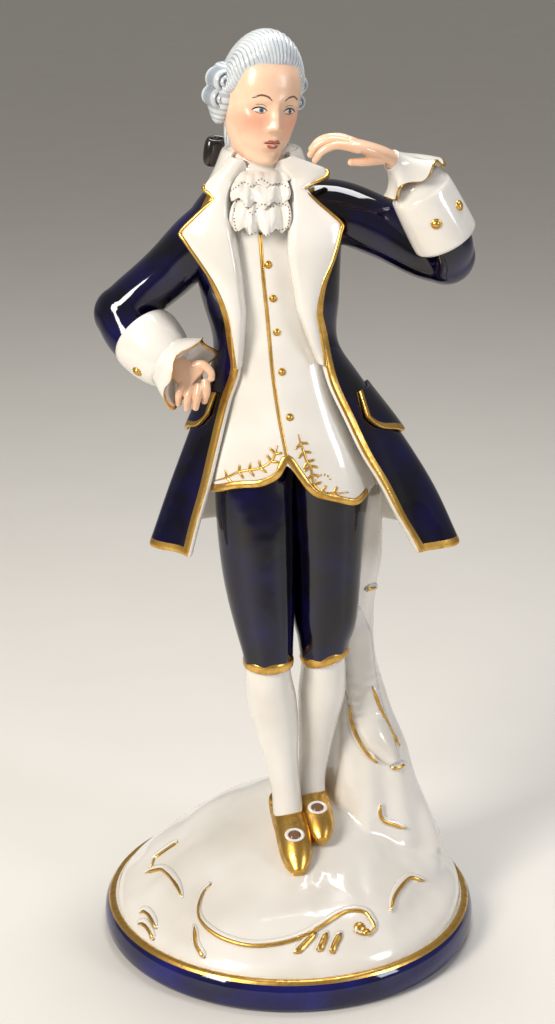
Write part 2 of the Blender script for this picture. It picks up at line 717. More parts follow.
# %% A turned tube along the forearm
def turned_rings(start, stop, profile, around=72, wave=None):
    """Rings along a line. profile is (share of the way, radius). wave(angle, share) moves a point."""
    a, b = Vector(start), Vector(stop)
    way = (b - a).normalized()
    out = Vector((0, -1, 0))
    out = (out - way * out.dot(way)).normalized()
    side = way.cross(out)
    rings = []
    for share, radius in profile:
        ring = []
        for i in range(around):
            angle = 2 * math.pi * i / around
            outwards, onwards = wave(angle, share) if wave else (0, 0)
            direction = side * math.sin(angle) + out * math.cos(angle)
            ring.append((a.lerp(b, share) + direction * (radius + outwards) + way * onwards) * MM)
        rings.append(ring)
    return rings


def fine_profile(keys, count):
    """The profile, smoothly filled in."""
    rows = [(i, *k) for i, k in enumerate(keys)]
    return [tuple(smooth_keys(rows, t)) for t in spread(0, len(keys) - 1, count)]


def cuff_drum(name, elbow, wrist, radius, back):
    """back is the share of the way from elbow to wrist where the cuff begins."""
    r = radius
    keys = [(back + 0.12, r - 3.2), (back + 0.04, r - 2.2), (back, r - 0.7), (back + 0.02, r + 0.4),
            (back + 0.1, r + 0.9),
            (0.62, r + 0.3), (0.72, r - 0.6), (0.8, r - 1.6), (0.86, r - 2.8), (0.885, r - 5.0),
            (0.89, 1.0)]
    return skin(name, turned_rings(elbow, wrist, fine_profile(keys, 52)), end_cap=True)


# %% The two kinds of frill
def frill(name, start, stop, neck, lip, waves, phase):
    """From the cuff out to a waving lip, and back into a shallow cup that the wrist comes out of."""
    def wave(angle, share):
        depth = max(0.0, share) ** 1.5
        return (1.2 * math.cos(waves * angle + phase) * depth,
                1.5 * math.sin(waves * angle + phase + 0.8) * depth)
    keys = [(-0.25, neck - 1.6), (0.1, neck - 0.4), (0.55, (neck + lip) / 2), (0.9, lip - 0.5),
            (1.0, lip + 0.1), (1.0, lip - 0.7),
            (0.84, lip - 2.6), (0.62, neck - 3.6), (0.5, neck - 6.0), (0.45, 0.6)]
    piece = give(skin(name, turned_rings(start, stop, fine_profile(keys, 54), 96, wave)), white, gilt)
    paint_faces(piece, 1, lambda down, around: 22 < down < 31)
    modify(piece, "SUBSURF", levels=1, render_levels=1)
    return piece


def falling_frill(name, lip, lip_way, wrist, wrist_way, radii, waves, phase):
    """A frill on a raised arm: gathered tight at the wrist, it falls back over the cuff."""
    lip, wrist, lip_way, wrist_way = Vector(lip), Vector(wrist), Vector(lip_way), Vector(wrist_way)
    rings = []
    for share in spread(0, 1, 40):
        way = lip_way.lerp(wrist_way, share).normalized()
        out = Vector((0, -1, 0))
        out = (out - way * out.dot(way)).normalized()
        side = way.cross(out)
        wide = radii[1] + (radii[0] - radii[1]) * (1 - share) ** 1.5
        depth = (1 - share) ** 1.6
        ring = []
        for i in range(120):
            angle = 2 * math.pi * i / 120
            r = wide + 0.8 * math.cos(waves * angle + phase) * depth
            drop = 1.5 * math.sin(waves * angle + phase + 0.8) * depth
            ring.append((lip.lerp(wrist,
                                  share) + (side * math.sin(angle) + out * math.cos(angle)) * r
                         + way * drop) * MM)
        rings.append(ring)
    piece = give(skin(name, rings), white, gilt)
    paint_faces(piece, 1, lambda down, around: down < 2)
    modify(piece, "SOLIDIFY", thickness=0.9 * MM, offset=0.0)
    modify(piece, "SUBSURF", levels=1, render_levels=1)
    return piece


# %% Both cuffs and both frills
RIGHT_ELBOW, RIGHT_WRIST = (-56.5, 6, 226), (-36, -13, 208)
LEFT_ELBOW, LEFT_WRIST = (50.9, -10.0, 252.8), (37.5, -15.6, 277.8)
right_cuff = cuff_drum("right_cuff", RIGHT_ELBOW, RIGHT_WRIST, 11.0, 0.36)
left_cuff = cuff_drum("left_cuff", LEFT_ELBOW, LEFT_WRIST, 10.0, 0.02)
right_frill = frill("right_frill", (-41.5, -8.0, 213.0), (-33.0, -13.6, 209.6), 8.4, 12.2, 5, 0.6)
left_frill = falling_frill("left_frill", (40.1, -14.5, 273.0), (-0.56, 0.16, 0.8), (31.5, -24.0, 281.2),
                           (-0.8, -0.45, 0.4), (10.8, 3.0), 5, 2.4)
modify(right_cuff, "SUBSURF", levels=1, render_levels=1)
modify(left_cuff, "SUBSURF", levels=1, render_levels=1)
dress(right_cuff, "white_glaze", white, stands_for=("right_cuff",))
dress(left_cuff, "white_glaze", white, stands_for=("left_cuff",))
dress(right_frill, "white_glaze", stands_for=("right_sleeve_ruffle",))
dress(left_frill, "white_glaze", stands_for=("left_sleeve_ruffle",))

# %% [markdown]
# ## Legs
# The breeches are drawn in by a band under the knee, and creases run into the band. The stockings
# show the calf, and the shoes are small lasts with a tongue and a buckle.

# %% Breeches
def knee_fold(share, angle):
    """Upright creases that run into the knee band."""
    bulge = 0.03 * max(0.0, share - 0.6) / 0.4 * math.sin(7 * angle + 0.8)
    return bulge + 0.012 * math.sin(3 * angle + 6 * share)


right_leg = limb("right_breeches", [(-8, -1, 186, 13, 14), (-11, -2.5, 170, 14.2, 14.6),
                                    (-11, -5, 155, 13.8, 13.8),
    (-10.2, -7.5, 138, 12.6, 12.6), (-8.8, -10, 123, 10.8, 11.2), (-7.6, -11.6, 111.5, 9.0, 9.4),
                                    (-7.2, -12, 105.6, 8.3, 8.5)],
    48, 48, knee_fold)
left_leg = limb("left_breeches", [(9.5, -0.5, 186, 11, 13), (13, -0.5, 170, 14.0, 14.4),
                                  (13, -1, 155, 13.4, 13.6),
    (13, -2, 138, 12.2, 12.4), (12.5, -3, 119.5, 11.3, 11.5), (12, -3.8, 111.0, 9.2, 9.6),
                                  (11.8, -4, 105.4, 8.3, 8.5)],
    48, 48, knee_fold)
dress(right_leg, "cobalt_glaze", cobalt, stands_for=("right_breeches_leg",))
dress(left_leg, "cobalt_glaze", cobalt, stands_for=("left_breeches_leg",))


# %% [markdown]
# ## Knee bands
# The band that draws the breeches in is a flat gilt strip under the knee. It is a short turned tube, a
# hair wider than the leg, with square rims that catch the light as a painted edge does.

# %% Knee bands
def knee_band(name, middle, radius, tilt):
    """A gilt band, a little proud of the breeches, that dips at the front."""
    x, y, z = middle
    top, foot = Vector((x, y, z + 2.0)), Vector((x + tilt[0], y + tilt[1], z - 2.0))
    keys = [(0.0, radius - 0.8), (0.06, radius - 0.1), (0.5, radius + 0.15), (0.94, radius),
            (1.0, radius - 1.2)]
    return skin(name, turned_rings(foot, top, keys[::-1], 48))


knee_bands = gather("knee_bands", [knee_band("right_band", (-7.2, -12, 106.6), 8.8, (0, 0)),
                                   knee_band("left_band", (11.8, -4, 106.2), 8.8, (1.2, 0))])
modify(knee_bands, "SUBSURF", levels=1, render_levels=1)
dress(knee_bands, "burnished_gold", gilt)

# %% [markdown]
# ## Stockings
# A stocking is the leg itself in white: full at the calf and thin above the ankle. A limb with eight
# keys gives that outline in one smooth skin. It ends inside the shoe.

# %% Stockings
right_stocking = limb("right_stocking", [(-7.2, -11.5, 106, 7.6, 7.8), (-7.0, -10.6, 99, 8.1, 8.4),
                                         (-6.0, -8.6, 90, 8.7, 9.0),
    (-4.2, -8.0, 79, 7.7, 7.9), (-2.6, -8.4, 67, 5.9, 6.2), (-1.0, -9.0, 56, 5.2, 5.6),
                                         (-0.3, -9.4, 48, 5.4, 6.2),
    (0.0, -10, 42, 5.2, 6.4)], 44, 36)
left_stocking = limb("left_stocking", [(11.9, -3.4, 106, 7.6, 7.8), (12.0, -2.4, 99, 8.0, 8.2),
                                       (11.6, -0.6, 90, 8.4, 8.8),
    (10.4, 0.6, 79, 7.2, 7.6), (9.2, 0.9, 67, 5.8, 6.1), (8.2, 0.5, 57, 5.1, 5.5), (8.0, 0.2, 50, 5.4, 6.0),
    (8.2, -0.4, 45, 5.2, 6.0)], 44, 36)
dress(right_stocking, "white_glaze", white, stands_for=("right_stocking",))
dress(left_stocking, "white_glaze", white, stands_for=("left_stocking",))


# %% [markdown]
# ## Shoes
# Each shoe is a small pointed last with a high back. Its path runs from behind the heel, down over the
# instep and out to the toe, so one limb makes the whole shoe. The left one stands further back and
# higher on the rock, so it has keys of its own.

# %% Shoes
right_shoe = limb("right_shoe", [(-2.4, -5.0, 51.6, 4.6, 4.2), (-1.8, -4.8, 49.0, 5.6, 5.4),
                                 (-0.4, -7.2, 45.6, 6.2, 6.4),
    (1.2, -14.5, 42.6, 6.2, 6.4), (2.3, -21.5, 39.2, 6.0, 5.4), (3.0, -27.0, 36.0, 4.7, 4.0),
                                 (3.5, -31.2, 33.9, 2.0, 1.9)], 34, 32)
left_shoe = limb("left_shoe", [(7.2, 4.4, 54.0, 4.4, 4.0), (7.6, 4.4, 51.0, 5.4, 5.2),
                               (8.5, 0.8, 48.0, 5.9, 6.2),
    (9.7, -6.4, 45.8, 5.9, 6.0), (10.7, -12.2, 43.4, 5.5, 4.9), (11.3, -16.6, 41.6, 4.2, 3.6),
                               (11.7, -20.0, 40.4, 1.9, 1.8)], 34, 32)
dress(right_shoe, "burnished_gold", gilt, stands_for=("right_shoe",))
dress(left_shoe, "burnished_gold", gilt, stands_for=("left_shoe",))

# %% [markdown]
# ## Head, in its own frame
# The head is turned to the gentleman's left and leans a little to his right. It is modelled upright
# around its own middle, with x to his left, y backwards and z up, and `placed` carries each point to
# where the head is. The face is a plain one on the usual proportions: hairline, brow, foot of the
# nose and chin are a third of the face apart, and the mouth is a third of the way down below the nose.

# %% The head's frame
HEAD_CENTRE = (-9.2, -2.2, 299.0)
HEAD_YAW, HEAD_TILT, HEAD_NOD = 25.0, 6.0, 3.0  # degrees
head_turn = (Matrix.Rotation(math.radians(HEAD_TILT), 3, "Y")
             @ Matrix.Rotation(math.radians(HEAD_YAW), 3, "Z")
             @ Matrix.Rotation(math.radians(HEAD_NOD), 3, "X"))


def placed(x, y, z):
    """A point of the head's own frame, in metres on the figurine."""
    return (head_turn @ Vector((x, y, z)) + Vector(HEAD_CENTRE)) * MM


# %% The form of the head, ring above ring
# height, half width, depth to the front, depth to the back, how square the front is
HEAD_FORM = [(-21.5, 3.0, 9.0, 2.0, 2.0), (-20.6, 5.6, 11.4, 3.5, 2.1), (-19.0, 7.0, 12.4, 5.0, 2.2),
             (-16.5, 8.3, 12.2, 7.0, 2.2), (-13.5, 9.7, 12.8, 9.0, 2.2), (-10.0, 10.6, 12.9, 11.0, 2.25),
             (-5.5, 11.5, 12.9, 13.0, 2.3), (-2.5, 11.7, 12.6, 13.8, 2.3), (0.5, 11.8, 13.1, 14.2, 2.3),
             (5.0, 11.6, 13.0, 14.4, 2.25), (9.5, 10.6, 11.6, 13.6, 2.2), (13.5, 8.2, 8.4, 10.8, 2.1),
             (16.2, 4.0, 4.2, 5.5, 2.0), (16.9, 0.6, 0.6, 0.8, 2.0)]


def head_point(z, angle):
    """Angle 0 is the front."""
    width, front, back, square = smooth_keys(HEAD_FORM, z)
    c, s = math.cos(angle), math.sin(angle)
    depth = front if c > 0 else back
    power = 2.0 / (square if c > 0 else 2.0)
    x = width * math.copysign(abs(s) ** power, s)
    y = -depth * math.copysign(abs(c) ** power, c)
    return Vector((x, y, z))


# %% [markdown]
# ## Features of a plain face
# A modeller adds small pellets of clay to the blank head and strokes them in. Here each feature is a
# soft round brush with a place, a reach and a move, and it pushes the surface out or in. This keeps
# the mesh even, which sculpting with cuts would not.

# %% Push the features out of the form
def push(point, centre, reach, move):
    """Moves a point near centre by a soft share of move. reach is a size along each axis."""
    away = sum(((p - c) / r) ** 2 for p, c, r in zip(point, centre, reach))
    return point + Vector(move) * math.exp(-away)


FEATURES = [  # (x, y, z), (reach x, y, z), (move x, y, z), mirrored
    ((0, -13, 0.6), (7.0, 5, 1.6), (0, -0.35, 0), False),       # brow ridge
    ((5.0, -12, -2.6), (2.7, 5, 1.7), (0, 1.15, 0), True),      # eye socket
    ((5.0, -12, -2.8), (1.7, 5, 1.0), (0, -0.75, 0), True),     # eyeball under its lids
    ((0, -13, -2.0), (1.3, 5, 2.2), (0, -1.0, 0), False),       # bridge of the nose
    ((0, -13, -5.0), (1.35, 5, 2.2), (0, -1.7, 0), False),
    ((0, -13, -7.9), (1.5, 5, 1.7), (0, -2.5, 0), False),       # tip of the nose
    ((1.9, -13, -8.7), (0.95, 5, 1.0), (0, -1.1, 0), True),     # wings of the nose
    ((7.2, -10, -6.5), (3.2, 5, 3.0), (0.25, -0.5, 0), True),   # cheek
    ((0, -13, -12.3), (2.6, 5, 0.85), (0, -0.8, 0), False),     # upper lip
    ((0, -13, -13.4), (3.2, 5, 0.42), (0, 0.45, 0), False),     # line of the mouth
    ((0, -13, -14.4), (2.1, 5, 0.8), (0, -0.75, 0), False),     # lower lip
    ((0, -13, -16.2), (2.4, 5, 0.9), (0, 0.35, 0), False),      # hollow above the chin
    ((0, -12.5, -18.6), (2.8, 5, 1.6), (0, -0.8, 0), False),    # chin
]


def face_point(z, angle):
    point = head_point(z, angle)
    if point.y < 0:
        for centre, reach, move, mirrored in FEATURES:
            point = push(point, centre, reach, move)
            if mirrored:
                point = push(point, (-centre[0], *centre[1:]), reach, (-move[0], *move[1:]))
    return point


def head_rings(around=120, rows=92):
    rings = []
    for z in spread(HEAD_FORM[0][0], HEAD_FORM[-1][0], rows):
        rings.append([face_point(z, 2 * math.pi * i / around) for i in range(around)])
    return rings


head_shape = head_rings()
head = skin("head", [[placed(*p) for p in ring] for ring in head_shape], start_cap=True, end_cap=True)
marks = head.data.attributes.new("face_place", "FLOAT_VECTOR", "POINT")
back = head_turn.inverted()
for vertex, mark in zip(head.data.vertices, marks.data):
    mark.vector = back @ (vertex.co / MM - Vector(HEAD_CENTRE))
modify(head, "SUBSURF", levels=1, render_levels=1)

# %% [markdown]
# ## Neck
# The neck is hidden by the neckcloth but for a sliver under the jaw. It is a short limb that runs up
# into the head, so no gap shows from any side.

# %% Neck
neck = limb("neck", [(-9.2, 1.8, 270, 7.4, 7.4), (-9.0, 1.4, 277, 7.0, 7.0), (-8.6, 0.8, 286, 7.0, 7.4),
                     (-8.4, 0.4, 292, 7, 7)], 16, 32)

# %% [markdown]
# ## Face enamel
# The painter lays a peach tone over the white, then stipples a rosier one on the cheeks while it is wet.
# The head stores each point's place in the head's own frame, so the rosy spots stay on the cheeks
# however the head is turned. The gloss is softer than the glaze's, because enamel sinks in a little.

# %% Skin enamel with rosy cheeks
def spot_at(tree, place, centre, reach, soft):
    """1 inside an ellipsoid of the head's frame, 0 outside, with a soft border."""
    away = add(tree, "ShaderNodeVectorMath", [(0, place), (1, centre)], operation="SUBTRACT").outputs[0]
    away = add(tree, "ShaderNodeVectorMath", [(0, away), (1, reach)], operation="DIVIDE").outputs[0]
    length = add(tree, "ShaderNodeVectorMath", [(0, away)], operation="LENGTH").outputs["Value"]
    return ramp(tree, length, 1.0 + soft, 1.0 - soft)


def make_face_enamel():
    """Peach enamel over the white body, warmer on the cheeks, as the painter stippled it."""
    material, tree, shader, where = new_material("flesh_enamel_face")
    place = add(tree, "ShaderNodeAttribute", attribute_name="face_place").outputs["Vector"]
    parts = add(tree, "ShaderNodeSeparateXYZ", [("Vector", place)])
    across = add(tree, "ShaderNodeMath", [(0, parts.outputs["X"])], operation="ABSOLUTE").outputs[0]
    mirrored = add(tree, "ShaderNodeCombineXYZ",
                   [("X", across), ("Y", parts.outputs["Y"]), ("Z", parts.outputs["Z"])])
    cheek = spot_at(tree, mirrored.outputs[0], (6.6, -9.5, -7.0), (4.4, 6.0, 3.6), 0.7)
    stipple = add(tree, "ShaderNodeMath", [(0, cheek), (1, 0.62)], operation="MULTIPLY").outputs[0]
    tone = ramp(tree, noise(tree, where, 5, 2.0), 0.3, 0.75)
    flesh = mix(tree, tone, linear("#efc9ac"), linear("#e8bd9d"))
    tree.links.new(mix(tree, stipple, flesh, linear("#dc8468")), shader.inputs["Base Color"])
    shader.inputs["Roughness"].default_value = 0.34
    shader.inputs["Coat Weight"].default_value = 0.2
    shader.inputs["Coat Roughness"].default_value = 0.12
    shader.inputs["Subsurface Weight"].default_value = 0.1
    shader.inputs["Subsurface Radius"].default_value = (1.0, 0.6, 0.4)
    shader.inputs["Subsurface Scale"].default_value = 1.0 * MM
    return material


face_enamel = make_face_enamel()
brow_enamel = make_enamel("brown_line_enamel", "#6a4a36", "#7a5844", 2)
lash_enamel = make_enamel("dark_line_enamel", "#2c211c", "#382a23", 2)
iris_enamel = make_enamel("iris_enamel", "#4d6575", "#41586a", 1)
lip_enamel = make_enamel("lip_enamel", "#bf5b4e", "#b55146", 2)
dress(head, "flesh_enamel", face_enamel, stands_for=("head",))
dress(neck, "flesh_enamel", skin_enamel)

# %% [markdown]
# ## Painted lines of the face
# Brows, lids and lips are single strokes of a fine brush. They could be drawn in the material, but a
# stroke of enamel stands a little proud and has soft ends. So they are laid on like gilt lines, only
# thinner, and they stay crisp at any distance.

# %% Paint the face: brows, lids, eyes and lips are laid on like the gilt lines, only thinner
head_surface = surface_of(head)


def face_spots(points, step=0.3):
    """(place, normal) pairs along a line of the head's own x and z, dropped on the face."""
    forward = head_turn @ Vector((0, 1, 0))
    spots = []
    for p in smooth_path([(x, 0, z) for x, z in points], step):
        place, normal, _, _ = head_surface.ray_cast(placed(p.x, -40, p.z), forward)
        spots.append((place, normal))
    return spots


def both_sides(points):
    return [points, [(-x, z) for x, z in points]]


def face_line(lines, width, height, material):
    strokes = [stroke("face_line", face_spots(line), width, height) for line in lines]
    return [give(s, material) for s in strokes]


face_lines = face_line(both_sides([(3.2, -3.2), (4.2, -3.0), (6.0, -3.0), (7.0, -3.3)]), 1.4, 0.10, white)
face_lines += face_line(both_sides([(2.9, -3.2), (4.0, -2.45), (5.6, -2.3), (6.9, -2.8), (7.6, -3.5)]),
                        0.52, 0.18, lash_enamel)
face_lines += face_line(both_sides([(3.2, -1.9), (4.6, -1.25), (6.6, -1.5)]), 0.22, 0.10, brow_enamel)
face_lines += face_line(both_sides([(3.6, -3.8), (5.1, -4.05), (6.7, -3.7)]), 0.22, 0.12, brow_enamel)
face_lines += face_line(both_sides([(2.2, 0.3), (3.6, 1.4), (5.8, 1.7), (8.0, 0.4)]), 0.62, 0.14,
                        brow_enamel)
face_lines += face_line([[(-2.6, -13.1), (-1.0, -12.5), (0.0, -12.75), (1.0, -12.5), (2.6, -13.1)]], 0.95,
                        0.16, lip_enamel)
face_lines += face_line([[(-1.9, -14.1), (0.0, -14.6), (1.9, -14.1)]], 1.05, 0.16, lip_enamel)
face_lines += face_line([[(-2.8, -13.35), (0.0, -13.35), (2.8, -13.35)]], 0.28, 0.16, lash_enamel)
for x in (-4.7, 5.3):
    place, normal = face_spots([(x, -3.1), (x + 0.1, -3.1)], 0.05)[0]
    face_lines.append(give(bead(place + normal * 0.06 * MM, normal, 0.74, 0.16), iris_enamel))
    face_lines.append(give(bead(place + normal * 0.13 * MM, normal, 0.36, 0.16), lash_enamel))
face_painting = gather("face_painting", face_lines)
dress(face_painting, "flesh_enamel")

# %% [markdown]
# ## The wig
# The hair is combed back from the forehead over a pad. It is a sheet of strips that start at the
# hairline and end at the nape, with a comb's grooves pressed in along the strips. A strip's place is
# its angle from ear to ear, and the way along it is an angle over the crown.

# %% Hair enamel that is darker in the grooves
def make_hair():
    """Pale grey enamel; the painter drew darker strokes where the comb's grooves are."""
    material, tree, shader, where = new_material("grey_wig_enamel")
    groove = add(tree, "ShaderNodeAttribute", attribute_name="groove").outputs["Fac"]
    tone = mix(tree, ramp(tree, noise(tree, where, 4, 2.0), 0.3, 0.7), linear("#d3d6d6"),
               linear("#bdc3c8"))
    tree.links.new(mix(tree, ramp(tree, groove, 0.45, 1.0), tone, linear("#8c959f")),
                   shader.inputs["Base Color"])
    shader.inputs["Roughness"].default_value = 0.24
    shader.inputs["Coat Weight"].default_value = 0.5
    shader.inputs["Coat Roughness"].default_value = 0.05
    return material


hair = make_hair()
HAIRLINE = [(0, 42), (25, 44), (42, 45), (56, 36), (68, 18), (78, 0),
            (89, -20)]  # ear-to-ear angle, start angle
NAPE = [(0, 222), (40, 220), (70, 212), (89, 205)]


def comb(sideways, along):
    """Groove depth, 0 to 1, at an ear-to-ear angle in degrees and a share of the way back."""
    sway = 2.2 * math.sin(5.0 * along + 0.05 * sideways) + 1.3 * math.sin(11.0 * along + 0.11 * sideways)
    deep = 0.5 - 0.5 * math.cos(math.radians((sideways + sway) * 360 / 4.8))
    fine = 0.5 - 0.5 * math.cos(math.radians((sideways + 1.5 * sway) * 360 / 2.4))
    return 0.62 * deep ** 2 + 0.38 * fine


def hair_point(sideways, along):
    start = float(np.interp(abs(sideways), [p[0] for p in HAIRLINE], [p[1] for p in HAIRLINE]))
    stop = float(np.interp(abs(sideways), [p[0] for p in NAPE], [p[1] for p in NAPE]))
    over = math.radians(start + (stop - start) * along)
    side = math.radians(sideways)
    way = Vector((math.sin(side), -math.cos(side) * math.cos(over), math.cos(side) * math.sin(over)))
    depth = 13.6 + 3.2 * (0.5 - 0.5 * math.cos(min(max(over, 0), math.pi)))
    tall = 20.4 if way.z > 0 else 17.5
    reach = 1 / math.sqrt((way.x / 13.6) ** 2 + (way.y / depth) ** 2 + (way.z / tall) ** 2)
    lift = 1.0 - 0.16 * math.exp(-along / 0.035) + 0.035 * bump_at(along, 0.16, 0.1)
    end = 1.0 - 0.12 * max(0.0, along - 0.9) / 0.1
    return way * (reach * lift * end - 0.46 * comb(sideways, along) * min(1.0, along / 0.04))


def mark_grooves(piece, depth_of):
    """Stores a groove depth, 0 to 1, at every vertex. depth_of takes the ring and the place."""
    marks = piece.data.attributes
    down = [d.value for d in marks["down"].data]
    around = [d.value for d in marks["around"].data]
    grooves = marks.new("groove", "FLOAT", "POINT")
    for mark, d, a in zip(grooves.data, down, around):
        mark.value = depth_of(d, a)


SIDEWAYS = spread(-88, 88, 260)
ALONG = [s ** 1.25 for s in spread(0, 1, 90)]
wig = skin("wig_form", [[placed(*hair_point(s, a)) for s in SIDEWAYS] for a in ALONG], closed=False)
mark_grooves(wig, lambda down, around: comb(SIDEWAYS[around], ALONG[down]))
modify(wig, "SOLIDIFY", thickness=1.6 * MM, offset=-1.0)
dress(wig, "grey_wig_enamel", hair, stands_for=("wig",))


# %% [markdown]
# ## Side curls
# At each ear the wig has two rolls of hair, one below the other. A roll is a strip wound round a rod that
# points to the front, so its end shows a spiral. The strip's section is extruded along that spiral, and
# a combed pad behind joins the rolls to the wig.

# %% Side curls: a strip rolled up around a line from front to back
def curl(name, centre, radius, length, splay, turns=1.7):
    """centre is the middle of the front end, which splay turns outwards, in degrees."""
    rings = []
    grow = radius / turns
    side = -1 if centre[0] < 0 else 1
    turn = Matrix.Rotation(math.radians(-splay * side), 3, "Z")
    for share in spread(0, 1, 64):
        angle = side * 2 * math.pi * turns * share - 0.6
        r = 0.35 * radius * (1 - share) * 0.5 + radius * share * 0.9
        ring = []
        for k in range(36):
            a = 2 * math.pi * k / 36
            axial = length / 2 * math.copysign(abs(math.cos(a)) ** 0.55, math.cos(a))
            thick = 0.43 * grow * math.copysign(abs(math.sin(a)) ** 0.8, math.sin(a))
            thick -= 0.16 * (0.5 + 0.5 * math.cos(7.5 * axial)) * (1 if math.sin(a) > 0 else 0)
            out = r + thick
            y = length / 2 + axial * (0.82 + 0.18 * (1 - share)) + 0.6 * share
            local = Vector((out * math.cos(angle), y, out * math.sin(angle)))
            ring.append(placed(*(turn @ local + Vector(centre))))
        rings.append(ring)
    piece = skin(name, rings, start_cap=True, end_cap=True)
    mark_grooves(piece, lambda down, around: 0.5
                 + 0.5 * math.cos(7.5 * length / 2 * math.cos(2 * math.pi * around / 36))
                 if 0 < around < 18 else 0.75)
    return piece


def side_curls(name, side):
    """Two curls, one below the other, on a pad of combed hair behind the ear."""
    pad_rings = []
    for z, r in fine_profile([(8.5, 0.4), (7.0, 2.6), (2.0, 4.2), (-3.5, 4.2), (-7.5, 3.0), (-10.5, 1.6),
                              (-11.6, 0.3)], 40):
        pad_rings.append([placed(side * 11.6 + r * math.sin(a), 5.4 - 1.7 * r * math.cos(a), z)
                          for a in spread(0, 2 * math.pi, 61)[:-1]])
    pad = skin("pad", pad_rings, start_cap=True, end_cap=True)
    mark_grooves(pad, lambda down, around: 0.5 + 0.5 * math.cos(1.9 * down))
    curls = [curl("curl", (side * 12.9, -1.6, 2.9), 3.6, 9, 8),
             curl("curl", (side * 13.3, -1.0, -2.7), 3.3, 9, 10)]
    return gather(name, [pad] + curls)


right_curls = side_curls("right_curls", -1)
left_curls = side_curls("left_curls", 1)
dress(right_curls, "grey_wig_enamel", hair, stands_for=("right_side_curls",))
dress(left_curls, "grey_wig_enamel", hair, stands_for=("left_side_curls",))


# %% [markdown]
# ## Queue and bow
# The hair at the back is gathered into a short tail and tied with a black ribbon. The tail is a grooved
# tube that gets thinner where the ribbon holds it. The bow is made from bands that stand on edge, each
# extruded along a loop, as a potter bends strips of clay.

# %% The queue, and the black bow that ties it
def ribbon(name, path, width, thick, up=(0, 0, 1)):
    """A flat band that stands on its edge along a path in the head's frame."""
    fine = smooth_path(path, 0.5)
    rings = []
    for i, p in enumerate(fine):
        ahead = (fine[min(i + 1, len(fine) - 1)] - fine[max(i - 1, 0)]).normalized()
        out = ahead.cross(Vector(up)).normalized()
        ring = []
        for k in range(12):
            a = 2 * math.pi * k / 12
            tall = math.copysign(abs(math.cos(a)) ** 0.7, math.cos(a))
            spot = p + Vector(up) * tall * width / 2 + out * math.sin(a) * thick / 2
            ring.append(placed(*spot))
        rings.append(ring)
    return skin(name, rings, start_cap=True, end_cap=True)


QUEUE = [(0, 12.0, -8, 6.5, 4.0), (0, 14.6, -13, 5.0, 3.4), (0, 16.0, -18, 3.8, 2.8),
         (0, 16.8, -22.6, 2.6, 2.3), (0, 17.4, -27, 3.2, 2.6), (0, 17.4, -31, 2.2, 1.9),
         (0, 17.2, -33.5, 0.8, 0.7)]


def queue_rings(around=60):
    rings = []
    rows = [(i, *key) for i, key in enumerate(QUEUE)]
    for t in spread(0, len(QUEUE) - 1, 50):
        x, y, z, width, depth = smooth_keys(rows, t)
        ring = []
        for i in range(around):
            a = 2 * math.pi * i / around
            groove = 1.0 - 0.07 * (0.5 + 0.5 * math.cos(12 * a + 1.4 * t))
            ring.append(placed(x + width * groove * math.sin(a), y - depth * groove * math.cos(a), z))
        rings.append(ring)
    return rings


queue = skin("queue_form", queue_rings(), start_cap=True, end_cap=True)
mark_grooves(queue,
             lambda down, around: 0.5 + 0.5 * math.cos(12 * 2 * math.pi * around / 60 + 0.14 * down))
dress(queue, "grey_wig_enamel", hair, stands_for=("wig_queue",))
bow = gather("bow_form", [
    ribbon("loop", [(0.4, 18.0, -23.6), (-4.0, 20.4, -23.0), (-7.2, 20.0, -23.4), (-7.9, 18.8, -23.8),
                    (-6.4, 17.6, -24), (0, 18.2, -23.8)], 9.4, 2.7),
    ribbon("loop", [(-0.4, 18.0, -23.6), (4.0, 20.4, -23.0), (7.2, 20.0, -23.4), (7.9, 18.8, -23.8),
                    (6.4, 17.6, -24), (0, 18.2, -23.8)], 9.4, 2.7),
    ribbon("knot", [(-1.9, 17.6, -22.4), (-1.5, 20.2, -22.4), (0, 21.0, -22.4), (1.5, 20.2, -22.4),
                    (1.9, 17.6, -22.4)], 5.4, 1.1),
    ribbon("tail", [(0, 19.8, -24), (-2.4, 20.2, -28), (-3.8, 20.0, -33)], 3.2, 0.8, (0.9, 0.1, 0.4)),
    ribbon("tail", [(0, 19.8, -24), (2.4, 20.2, -28), (3.4, 20.0, -32)], 3.2, 0.8, (0.9, 0.1, -0.4))])
modify(bow, "SUBSURF", levels=1, render_levels=1)
dress(bow, "dark_bow_enamel", ribbon_enamel, stands_for=("queue_bow",))

# %% [markdown]
# ## Neckcloth and collar
# The neckcloth is wound round the neck, so its tube has slanting folds. The collar is one strip
# that rises inside, turns over, and falls outside, with its gilt edge on the last rows.

# %% Neckcloth and collar
def neckcloth_rings():
    rings = []
    profile = fine_profile([(269.5, 9.0), (270.6, 11.2), (272.5, 12.0), (276.0, 12.0), (279.6, 11.4),
                            (281.8, 10.5), (281.6, 8.4), (277, 7.4)], 48)
    for z, r in profile:
        ring = []
        for i in range(96):
            a = 2 * math.pi * i / 96
            fold = 0.42 * math.sin(2.3 * (z + 1.1 * math.sin(a))) * (1 if r > 9 else 0)
            dip = -1.4 * max(0.0, math.cos(a)) ** 2
            ring.append(mm(-9.3 + (r + fold) * math.sin(a), 1.6 - (r + fold) * 0.96 * math.cos(a),
                           z + dip))
        rings.append(ring)
    return rings


neckcloth = skin("neckcloth_form", neckcloth_rings())
dress(neckcloth, "white_glaze", white, stands_for=("neckcloth",))


